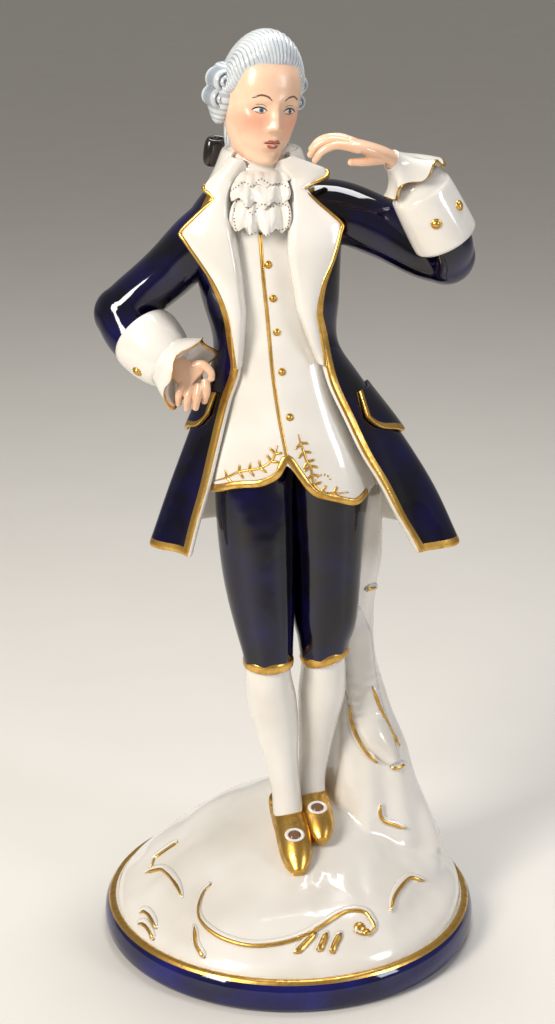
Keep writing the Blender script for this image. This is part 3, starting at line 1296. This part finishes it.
def collar_rings():
    """The turned collar, from its inside at the neck over the fold to its outer edge."""
    rings = []
    profile = fine_profile([(270, 10.6, 10.8), (274, 10.9, 11.2), (278, 11.2, 11.6), (280.4, 11.8, 12.4),
                            (279.8, 12.8, 13.6),
                            (275, 14.6, 14.8), (270.5, 16.8, 16.2), (267.6, 18.6, 17.2)], 30)
    for z, width, depth in profile:
        ring = []
        for a in spread(math.radians(46), math.radians(314), 96):
            ring.append(mm(-9.2 + width * math.sin(a), 2.2 - depth * math.cos(a), z))
        rings.append(ring)
    return rings


collar = give(skin("collar_form", collar_rings(), closed=False), white, gilt)
paint_faces(collar, 1, lambda down, around: down > 26)
modify(collar, "SOLIDIFY", thickness=1.2 * MM, offset=0.0)
modify(collar, "SUBSURF", levels=1, render_levels=1)
dress(collar, "white_glaze", stands_for=("coat_collar",))


# %% [markdown]
# ## The lace fall
# Real lace can't be cast, so on a figurine it is thick rippling cloth, and its pattern is picked out in
# dots of dark gold. Each tier is gathered at the top and waves more and more towards its scalloped
# lower edge. Three tiers overlap, and the dots are dropped on them from the front.

# %% Lace
def lace_tier(name, keys, waves, phase):
    """A key is (z, half width, y at the middle, how far the sides fall back, wave depth)."""
    rings = []
    rows = [(i, *k) for i, k in enumerate(keys)]
    for t in spread(0, len(keys) - 1, 34):
        z, half, y, back, wave = smooth_keys(rows, t)
        ring = []
        for s in spread(-1, 1, 110):
            turn = waves * math.pi * s + phase
            ripple = 0.7 * math.cos(turn) + 0.45 * math.cos(1.7 * turn + 1.1)
            rise = wave * (0.9 * math.cos(1.25 * turn + 0.4) + 0.5 * math.cos(2.3 * turn))
            ring.append(mm(-9.4 + half * s + 0.5 * wave * math.sin(turn),
                           y + back * s * s + wave * ripple,
                           z + 0.7 * rise + 1.6 * abs(s) ** 3))
        rings.append(ring)
    piece = skin(name, rings, closed=False)
    modify(piece, "SOLIDIFY", thickness=1.1 * MM, offset=0.0)
    modify(piece, "SUBSURF", levels=1, render_levels=1)
    return piece


DOT_LINES = [
    [(-19.7, 268.8), (-17.8, 270.4), (-14.3, 272.3), (-12.1, 271.3), (-9.5, 273.4), (-7.8, 272.7),
     (-5.4, 271.5), (-3.2, 271.8), (-0.4, 270.8)],
    [(-17.2, 266.2), (-15.6, 266.9), (-13.7, 264.9), (-11.8, 262.9), (-8.9, 266.1), (-5.9, 264.9),
     (-3.8, 265.8), (-1.0, 265.2), (-0.2, 264.0), (-0.2, 261.6), (-0.6, 259.2), (-1.6, 257.9),
     (-3.6, 257.3), (-5.9, 257.1), (-7.8, 256.2), (-11.2, 257.0), (-13.7, 256.2), (-16.0, 256.2),
     (-17.3, 257.8), (-17.9, 261.3), (-17.8, 264.0)]]


def dotted(surface, points, step, radius, material):
    """Small painted dots in a row, dropped on the surface from the front."""
    dots = []
    for p in smooth_path([(x, 0, z) for x, z in points], step):
        place, normal = front_hit(surface, p.x, p.z)
        if place:
            dots.append(give(bead(place, normal, radius, 0.5), material))
    return dots


tiers = [lace_tier("tier", [(275.0, 8.4, -9.4, 5.0, 0.1), (273.6, 9.6, -12.6, 5.2, 0.4),
                            (271.2, 10.2, -14.6, 5.4, 0.7)], 3.1, 0.4),
         lace_tier("tier", [(272.0, 7.6, -12.2, 4.0, 0.2), (269.6, 8.8, -15.6, 3.8, 0.7),
                            (267.4, 9.2, -16.8, 3.6, 1.1),
                            (265.4, 8.8, -16.8, 3.6, 1.3)], 2.6, 1.2),
         lace_tier("tier", [(267.0, 7.0, -13.6, 3.0, 0.2), (263.6, 8.8, -16.8, 3.2, 0.9),
                            (259.8, 9.4, -18.2, 3.4, 1.2),
                            (256.8, 8.9, -17.6, 3.4, 1.2)], 2.9, 0.2)]
lace = [give(piece, white) for piece in tiers]
lace_surface = surface_of(*tiers)
dark_gold = make_enamel("dark_gold_dots", "#7c6038", "#6b522e", 1, 0.3)
for line in DOT_LINES:
    lace += dotted(lace_surface, line, 0.98, 0.27, dark_gold)
jabot = gather("jabot_form", lace)
dress(jabot, "white_glaze", stands_for=("jabot",))

# %% [markdown]
# ## Hands
# Palm, fingers and thumb start as separate tubes that run into each other. A voxel remesh makes one
# skin of them, and smoothing softens the places where they meet.

# %% One hand
HAND_VOXEL = 0.26


def make_hand(name, palm, digits):
    parts = [limb("palm", palm, 18, 24)]
    for digit in digits:
        parts.append(limb("digit", digit, 16, 16))
        tip = digit[-1]
        bpy.ops.object.select_all(action="DESELECT")
        bpy.ops.mesh.primitive_uv_sphere_add(segments=20, ring_count=12, radius=tip[3] * MM,
                                             location=mm(*tip[:3]))
        bpy.ops.object.transform_apply(location=True)
        parts.append(bpy.context.object)
    piece = gather(name, parts)
    modify(piece, "REMESH", mode="VOXEL", voxel_size=HAND_VOXEL * MM)
    modify(piece, "SMOOTH", factor=0.5, iterations=3)
    return piece


right_hand = make_hand("right_hand_form",
    [(-41, -8.5, 214, 3.4, 3.0), (-37, -12.2, 211.4, 3.9, 2.9), (-33.6, -14.8, 209.2, 4.7, 2.7),
     (-31.0, -16.2, 207.0, 4.9, 2.3)],
    [[(-34.4, -16.0, 207.2, 1.4, 1.4), (-36.2, -17.4, 203.6, 1.35, 1.35), (-36.6, -16.2, 199.8, 1.1, 1.1)],
     [(-32.0, -16.8, 206.6, 1.45, 1.45), (-33.4, -18.4, 202.4, 1.4, 1.4),
      (-33.8, -17.0, 198.4, 1.15, 1.15)],
     [(-29.6, -17.0, 207.0, 1.5, 1.5), (-30.2, -18.8, 203.0, 1.4, 1.4),
      (-30.9, -17.6, 198.9, 1.15, 1.15)],
     [(-27.8, -16.4, 208.4, 1.5, 1.5), (-27.2, -18.0, 204.8, 1.4, 1.4),
      (-28.0, -17.0, 201.0, 1.15, 1.15)],
     [(-33.0, -14.0, 211.4, 1.8, 1.8), (-28.8, -15.4, 213.0, 1.55, 1.55), (-25.9, -16.4, 210.8, 1.3, 1.3),
      (-25.6, -16.6, 208.6, 1.15, 1.15)]])
left_hand = make_hand("left_hand_form",
    [(37, -17.5, 276.0, 3.0, 3.2), (33.0, -22.4, 280.0, 2.8, 3.2), (28.8, -26.6, 283.4, 2.4, 3.7),
     (22.0, -29.8, 286.2, 2.1, 4.5), (18.0, -30.6, 287.2, 1.6, 4.2)],
    [[(22.0, -33.0, 285.5, 1.35, 1.35), (14.6, -34.4, 287.2, 1.3, 1.3), (10.0, -34.2, 285.6, 1.25, 1.25),
      (7.6, -33.8, 282.6, 1.05, 1.05)],
     [(23.0, -31.2, 285.9, 1.45, 1.45), (14.0, -31.8, 288.4, 1.35, 1.35), (8.8, -31.4, 287.0, 1.3, 1.3),
      (6.2, -31.0, 283.9, 1.1, 1.1)],
     [(23.0, -29.0, 286.2, 1.45, 1.45), (14.2, -29.0, 288.9, 1.35, 1.35), (9.2, -28.4, 287.9, 1.3, 1.3),
      (6.6, -28.0, 285.2, 1.1, 1.1)],
     [(23.4, -27.0, 286.0, 1.3, 1.3), (15.4, -26.4, 288.7, 1.25, 1.25), (11.4, -25.8, 287.9, 1.2, 1.2),
      (9.2, -25.4, 285.6, 1.0, 1.0)],
     [(29.0, -27.8, 282.2, 1.9, 1.9), (23.4, -30.4, 281.6, 1.5, 1.5), (18.8, -31.4, 281.6, 1.2, 1.2)]])
dress(right_hand, "flesh_enamel", skin_enamel, stands_for=("right_hand",))
dress(left_hand, "flesh_enamel", skin_enamel, stands_for=("left_hand",))

# %% [markdown]
# ## Pocket flaps
# A flap is a curved leaf that lies on the skirt's folds. It follows the same ovals as the skirt, a
# little further out, so it can't cut into the folds, and its lower rows are the gilt border.

# %% Flaps with a gilt border
def flap(name, front_x, back_angle, low):
    """A curved leaf on the skirt. low is (share of the way back, height) of its lower edge."""
    rings = []
    for drop in spread(0, 1, 30):
        ring = []
        for share in spread(0, 1, 40):
            foot = float(smooth_keys(low, share)[0])
            z = 201.8 + (foot - 201.8) * drop
            start = angle_at(SKIRT, z, front_x + (2.4 if front_x > 0 else -2.4) * drop)
            a = start + (back_angle - start) * share
            ring.append(mm(*oval(SKIRT, z, a, skirt_fold(a % (2 * math.pi), z) + 1.3 - 0.6 * (1 - drop))))
        rings.append(ring)
    piece = give(skin(name, rings, closed=False), cobalt, gilt)
    paint_faces(piece, 1, lambda down, around: down > 24 or around < 3)
    modify(piece, "SOLIDIFY", thickness=1.6 * MM, offset=0.0)
    modify(piece, "SUBSURF", levels=1, render_levels=1)
    return piece


right_flap = flap("right_flap", -23.8, math.radians(-102),
                  [(0, 194.5), (0.25, 189.5), (0.5, 188.0), (0.75, 185.5), (1, 189)])
left_flap = flap("left_flap", 22.6, math.radians(102),
                 [(0, 194.0), (0.25, 189.5), (0.5, 187.5), (0.75, 185.5), (1, 189)])
dress(right_flap, "cobalt_glaze", stands_for=("right_pocket_flap",))
dress(left_flap, "cobalt_glaze", stands_for=("left_pocket_flap",))

# %% [markdown]
# ## Buttons
# The buttons are pressed pellets with a rim, all gilt. Each is a ring with a flattened bead in it. It is
# set where a line from the front meets the finished waistcoat, and turned to the surface there.

# %% Buttons
waistcoat_surface = surface_of(waistcoat)
BUTTONS = [(-7.0, 246.0), (-5.4, 234.9), (-4.2, 223.3), (-2.5, 210.0), (0.1, 195.4)]


def button(place, normal, radius):
    """A domed button with a raised rim."""
    bpy.ops.object.select_all(action="DESELECT")
    bpy.ops.mesh.primitive_torus_add(major_radius=radius * MM, minor_radius=0.32 * radius * MM,
                                     major_segments=28, minor_segments=10)
    rim = bpy.context.object
    turn = normal.to_track_quat("Z", "Y").to_matrix().to_4x4()
    rim.data.transform(Matrix.Translation(place) @ turn)
    return gather("button", [rim, bead(place, normal, radius, 0.75)])


buttons = gather("buttons", [button(*front_hit(waistcoat_surface, x, z), 1.0) for x, z in BUTTONS])
dress(buttons, "burnished_gold", gilt, stands_for=("waistcoat_buttons",))


def cuff_button(cuff, spot):
    place, normal, _, _ = surface_of(cuff).find_nearest(mm(*spot))
    return button(place, normal, 1.35)


cuff_set = gather("cuff_set", [cuff_button(right_cuff, (-52.5, -16, 208)),
                               cuff_button(left_cuff, (46.4, -26, 260.2)),
                               cuff_button(left_cuff, (55.9, -20, 266.7))])
dress(cuff_set, "burnished_gold", gilt, stands_for=("cuff_buttons",))


# %% [markdown]
# ## Buckles
# Each shoe has an oval buckle, left white, with a brown enamel middle. A ring is stretched to an oval and
# laid on the tongue, and a very flat bead fills it.

# %% Buckles: an oval ring on each tongue
def buckle(shoe_piece, spot):
    place, normal, _, _ = surface_of(shoe_piece).find_nearest(mm(*spot))
    bpy.ops.object.select_all(action="DESELECT")
    bpy.ops.mesh.primitive_torus_add(major_radius=2.3 * MM, minor_radius=0.52 * MM, major_segments=44,
                                     minor_segments=14)
    ring = give(bpy.context.object, white)
    turn = normal.to_track_quat("Z", "Y").to_matrix().to_4x4()
    oval = Matrix.Diagonal((1.25, 0.95, 0.8, 1))
    ring.data.transform(Matrix.Translation(place + normal * 0.5 * MM) @ turn @ oval)
    middle = give(bead(place + normal * 0.45 * MM, normal, 1.9, 0.25), brow_enamel)
    return [ring, middle]


buckles = gather("buckles", buckle(right_shoe, (2.0, -24, 46.0)) + buckle(left_shoe, (10.2, -12, 50.0)))
dress(buckles, "white_glaze", stands_for=("shoe_buckles",))

# %% [markdown]
# ## The base
# The base starts with a round foot: a cobalt side under a gilt band. It is turned on a wheel, so it is
# one profile carried round in a circle. The rows of the profile also say where each colour stops.

# %% Foot ring
RIM = [(60.0, 10.4), (62.4, 11.4), (63.8, 11.9), (64.9, 11.5), (65.6, 10.6), (66.5, 9.0), (67.0, 6.6),
       (67.0, 4.6), (66.6, 2.4), (65.7, 0.8), (64.4, 0.0), (62.0, 0.0), (60.2, 0.4)]


def foot_rings(around=180):
    rings = []
    for r, z in fine_profile(RIM, 52):
        rings.append([mm(r * math.sin(2 * math.pi * i / around), -r * math.cos(2 * math.pi * i / around),
                         max(0, z)) for i in range(around)])
    return rings


foot = give(skin("foot_rim", foot_rings()), bright_cobalt, gilt, white)
paint_faces(foot, 1, lambda down, around: 4 < down < 17)
paint_faces(foot, 2, lambda down, around: down < 6)
paint_faces(foot, 2, lambda down, around: down > 42)
dress(foot, "cobalt_glaze", stands_for=("base_rim",))

# %% [markdown]
# ## Rockwork and stump
# The rock and the tree stump hold the figure up in the kiln. The rock is a stack of uneven rings, and the
# stump is a tube with bark ridges. A voxel remesh makes them one surface, as wet slip does at the seam,
# and a little smoothing rounds it as glaze does.

# %% Rockwork and stump
ROCK_VOXEL, GROUND, ROCK_HEIGHT = 0.8, 11, 36
MOUND = [(0, 0.985, 0, 0), (0.14, 0.94, 1, 1), (0.31, 0.84, 2, 3), (0.48, 0.71, 3, 6), (0.64, 0.56, 4, 9),
         (0.81, 0.39, 7, 13), (1, 0.19, 10, 17)]
STUMP = [(26, 33, 13, 24, 23), (46, 30, 14, 18.5, 18), (63, 28, 15, 15, 15), (76.5, 25.5, 16, 11.5, 12),
         (95, 22.8, 17, 8.8, 9.5), (117, 22.2, 18, 8.2, 8.6), (138, 24.5, 17.5, 8.6, 8.6),
         (159.9, 24.5, 17, 8.4, 8.4)]


def mound_rings(around=180):
    rings = []
    for share in spread(0, 1, 70):
        size, x, y = smooth_keys(MOUND, share)
        ring = []
        for i in range(around):
            a = 2 * math.pi * i / around
            spot = Vector((math.sin(a), -math.cos(a), share * 0.9)) * 2.2
            rough = noise3.noise(spot) * 2.4 + noise3.noise(spot * 3.1) * 0.8
            step = 0.9 * math.sin(2 * math.pi * (share * 3.4 + 0.22 * noise3.noise(spot * 0.8)))
            r = 64 * size + (rough + step) * math.sin(math.pi * min(1.0, share * 1.15 + 0.02)) * 0.8
            ring.append(mm(x + r * math.sin(a), y - r * math.cos(a), GROUND + ROCK_HEIGHT * share))
        rings.append(ring)
    return rings


def stump_rings(around=72):
    rings = []
    for z in spread(26, 159.9, 90):
        x, y, width, depth = smooth_keys(STUMP, z)
        ring = []
        for i in range(around):
            a = 2 * math.pi * i / around
            ridges = 0.035 * math.sin(5 * a + z / 17) + 0.028 * math.sin(9 * a - z / 11)
            bark = ridges + 0.02 * noise3.noise(Vector((3 * a, z / 9, 0)))
            ring.append(mm(x + width * (1 + bark) * math.sin(a), y - depth * (1 + bark) * math.cos(a), z))
        rings.append(ring)
    return rings


rock = gather("rockwork", [skin("mound", mound_rings(), start_cap=True, end_cap=True),
                           skin("stump", stump_rings(), start_cap=True, end_cap=True)])
modify(rock, "REMESH", mode="VOXEL", voxel_size=ROCK_VOXEL * MM)
modify(rock, "SMOOTH", factor=0.5, iterations=6)
dress(rock, "white_glaze", white, stands_for=("base_mound", "tree_stump"))

# %% [markdown]
# ## Scrolls
# Scrolls and leaves stand up from the rock in low relief, and a gilt line runs along each. They are wide
# strokes of white on the rock's surface, and narrow gilt strokes laid on those.

# %% Scrolls in relief, each with a gilt line along its back
rock_surface = surface_of(rock)
SCROLLS = [
    [(-49.7, 23.6), (-46.8, 25.4), (-40.5, 28.6)],
    [(-51.7, 20.9), (-50.0, 22.3), (-46.6, 24.2), (-43.2, 25.5), (-40.9, 25.8), (-38.4, 25.2),
     (-37.2, 23.9)],
    [(-52.7, 15.8), (-51.2, 16.9), (-49.4, 17.2), (-47.6, 16.7), (-46.0, 15.6)],
    [(-53.0, 14.0), (-51.4, 14.9), (-49.8, 15.0), (-48.2, 14.3), (-47.0, 13.0)],
    [(-27.4, 28.4), (-30.1, 26.7), (-31.4, 25.0), (-31.3, 23.1), (-29.0, 21.5), (-24.8, 20.3),
     (-19.2, 19.7), (-13.4, 19.5),
     (-6.9, 19.9), (-0.4, 20.7), (6.1, 22.1), (10.6, 23.5), (14.7, 25.0), (18.6, 25.8), (22.8, 25.8),
     (26.6, 25.0), (28.3, 23.6),
     (29.3, 22.3), (28.9, 21.2), (26.7, 20.5), (24.3, 20.8), (22.2, 21.7)],
    [(9.2, 22.2), (5.0, 19.9), (1.6, 17.9)], [(12.9, 22.0), (11.2, 19.8), (9.8, 18.0)],
           [(17.7, 21.6), (15.6, 19.5), (14.2, 17.4)],
    [(-32.7, 20.5), (-32.4, 18.7), (-32.0, 16.9), (-30.5, 15.6), (-28.8, 14.3)],
    [(35.1, 23.3), (36.0, 25.2), (37.6, 26.5), (40.4, 27.1), (43.4, 26.8), (48.2, 24.6)],
    [(33.1, 47.0), (32.8, 45.0), (33.2, 42.7), (34.3, 41.2), (35.9, 40.2), (38.7, 39.0), (42.4, 37.5)],
    [(21.6, 82.0), (22.3, 77.5), (23.4, 73.0), (25.5, 69.0), (28.0, 65.5), (32.0, 61.6)],
    [(29.8, 89.2), (32.0, 83.1), (34.6, 76.9), (37.2, 71.2), (40.2, 65.2)],
    [(36.7, 59.2), (39.4, 58.8), (41.7, 59.2)],
    [(26.9, 124.3), (29.0, 124.2), (31.0, 123.5)]]
LEAF = [(23.0, 118.0), (23.8, 104.0), (25.8, 90.0), (28.8, 78.0), (32.8, 69.0), (37.6, 61.0)]
scrolls = [front_stroke("scroll", rock_surface, line, 3.0, 1.0) for line in SCROLLS]
scrolls.append(front_stroke("leaf", rock_surface, LEAF, 12.5, 2.4))
relief = gather("rock_relief", scrolls)
dress(relief, "white_glaze", white)
relief_surface = surface_of(rock, relief)
gilt_backs = [front_stroke("gilt_back", relief_surface, line,
                           2.3 if len(line) == 3 and line[0][1] < 23 and line[0][0] > 0 else 1.4, 0.4)
              for line in SCROLLS]
for x, z, size in [(24.2, 22.0, 2.1), (26.4, 21.3, 1.5)]:  # the scroll's curled end is filled with gold
    place, normal = front_hit(relief_surface, x, z)
    gilt_backs.append(bead(place, normal, size, 0.45))
rock_gilding = gather("rock_gilding", gilt_backs)
dress(rock_gilding, "burnished_gold", gilt)

# %% [markdown]
# ## Gold on the waistcoat
# A thin line marks where the waistcoat fastens, a wider one follows its hem, and a leafy sprig fills each
# point. A sprig is one stem with a pair of short strokes at each bend.

# %% Gold on the waistcoat: its front edge, its hem, and a sprig on each point
OPENING = [(-9.5, 256), (-9.2, 250), (-8.4, 240), (-7.4, 230), (-6.6, 220), (-5.4, 208), (-3.6, 196),
           (-1.6, 186), (-0.9, 182.2)]
SPRIGS = [[(-25.0, 171.9), (-21.2, 173.9), (-17.0, 176.4), (-13.5, 177.5), (-9.8, 178.6), (-6.1, 181.1),
           (-4.8, 183.7), (-4.0, 186.4)],
          [(2.8, 189.9), (3.6, 187.0), (4.6, 184.1), (5.7, 180.9), (6.8, 179.4), (7.4, 176.5),
           (8.1, 173.1), (10.5, 170.6), (14.5, 169.6), (19.5, 169.4)]]
hem_line = [(x, z + 1.3) for x, z in HEM[1:-1]]
lines = [front_stroke("opening", waistcoat_surface, OPENING, 1.25, 0.35, taper=False),
         front_stroke("hem", waistcoat_surface, hem_line, 2.6, 0.4, taper=False)]
for sprig in SPRIGS:
    lines.append(front_stroke("sprig", waistcoat_surface, sprig, 0.9, 0.3))
    for k in range(1, len(sprig) - 1):
        x, z = sprig[k]
        ahead = Vector((sprig[k + 1][0] - x, sprig[k + 1][1] - z)).normalized()
        for side in (-1, 1):
            leaf = Vector((x, z)) + (Vector((-ahead.y, ahead.x)) * side + ahead * 0.5) * 2.3
            lines.append(front_stroke("leaf", waistcoat_surface,
                                      [(x, z), ((x + leaf.x) / 2 + 0.2, (z + leaf.y) / 2),
                                       (leaf.x, leaf.y)],
                                      1.0, 0.3, step=0.5))
for turn in spread(-1.2, 1.2, 6):
    place, normal = front_hit(waistcoat_surface, 11.0 + 2.6 * math.sin(turn),
                              173.6 + 2.6 * math.cos(turn))
    lines.append(bead(place, normal, 0.4, 0.5))
waistcoat_gilding = gather("waistcoat_gilding", lines)
dress(waistcoat_gilding, "burnished_gold", gilt)

# %% [markdown]
# ## The closing plate
# The hollow is closed from below by a plain slab that never gets glaze. It keeps its packed form, because
# it is flat and hidden, and only gets the matt biscuit finish.

# %% The closing plate underneath keeps its CAD form and gets bare biscuit
plate = bpy.data.objects["base_closing_plate"]
plate.data.materials.clear()
plate.data.materials.append(biscuit)

# %% [markdown]
# ## Floor, light and camera
# Glaze is judged by what it mirrors. One tall soft window at the left gives the long bright lights, a
# weak fill keeps the cobalt from going flat, and a top light rounds the shoulders. The floor is pale
# paper. The camera looks down a little, as one looks at a figurine on a shelf.

# %% Floor
def make_floor():
    bpy.ops.object.select_all(action="DESELECT")
    bpy.ops.mesh.primitive_plane_add(size=24.0, location=(0, 0, 0))
    floor = bpy.context.object
    floor.name = "studio_floor"
    material, tree, shader, where = new_material("studio_paper")
    tree.links.new(mix(tree, noise(tree, where, 60), linear("#dcd8d2"), linear("#d6d2cb")),
                   shader.inputs["Base Color"])
    shader.inputs["Roughness"].default_value = 0.55
    floor.data.materials.append(material)


make_floor()

# %% Lights
def add_softbox(name, place, aim, size, power, colour="#ffffff"):
    """A large square light at place, turned to aim."""
    bpy.ops.object.light_add(type="AREA", location=mm(*place))
    light = bpy.context.object
    light.name = name
    light.data.shape = "RECTANGLE"
    light.data.size, light.data.size_y = size[0] * MM, size[1] * MM
    light.data.energy = power
    light.data.color = linear(colour)[:3]
    light.rotation_euler = (mm(*aim) - mm(*place)).to_track_quat("-Z", "Y").to_euler()


add_softbox("window", (-560, -560, 640), (0, 0, 190), (240, 420), 8.6, "#fffaf2")
add_softbox("fill", (700, -420, 420), (0, 0, 160), (160, 360), 2.2, "#eef3ff")
add_softbox("top", (60, 160, 900), (0, 0, 150), (380, 280), 4.6)
world = bpy.data.worlds.new("studio")
bpy.context.scene.world = world
world.use_nodes = True
world.node_tree.nodes["Background"].inputs["Color"].default_value = linear("#e9e5df")
world.node_tree.nodes["Background"].inputs["Strength"].default_value = 0.34
bpy.context.scene.view_settings.view_transform = "Standard"

# %% Camera
CAMERA_PLACE, CAMERA_DIP, LENS = (-4, -663, 383), 18.85, 71.7
bpy.ops.object.camera_add(location=mm(*CAMERA_PLACE), rotation=(math.radians(90 - CAMERA_DIP), 0, 0))
camera = bpy.context.object
camera.data.sensor_width = 36
camera.data.lens = LENS
bpy.context.scene.camera = camera
print("camera at", CAMERA_PLACE, "looking down by", CAMERA_DIP, "degrees")
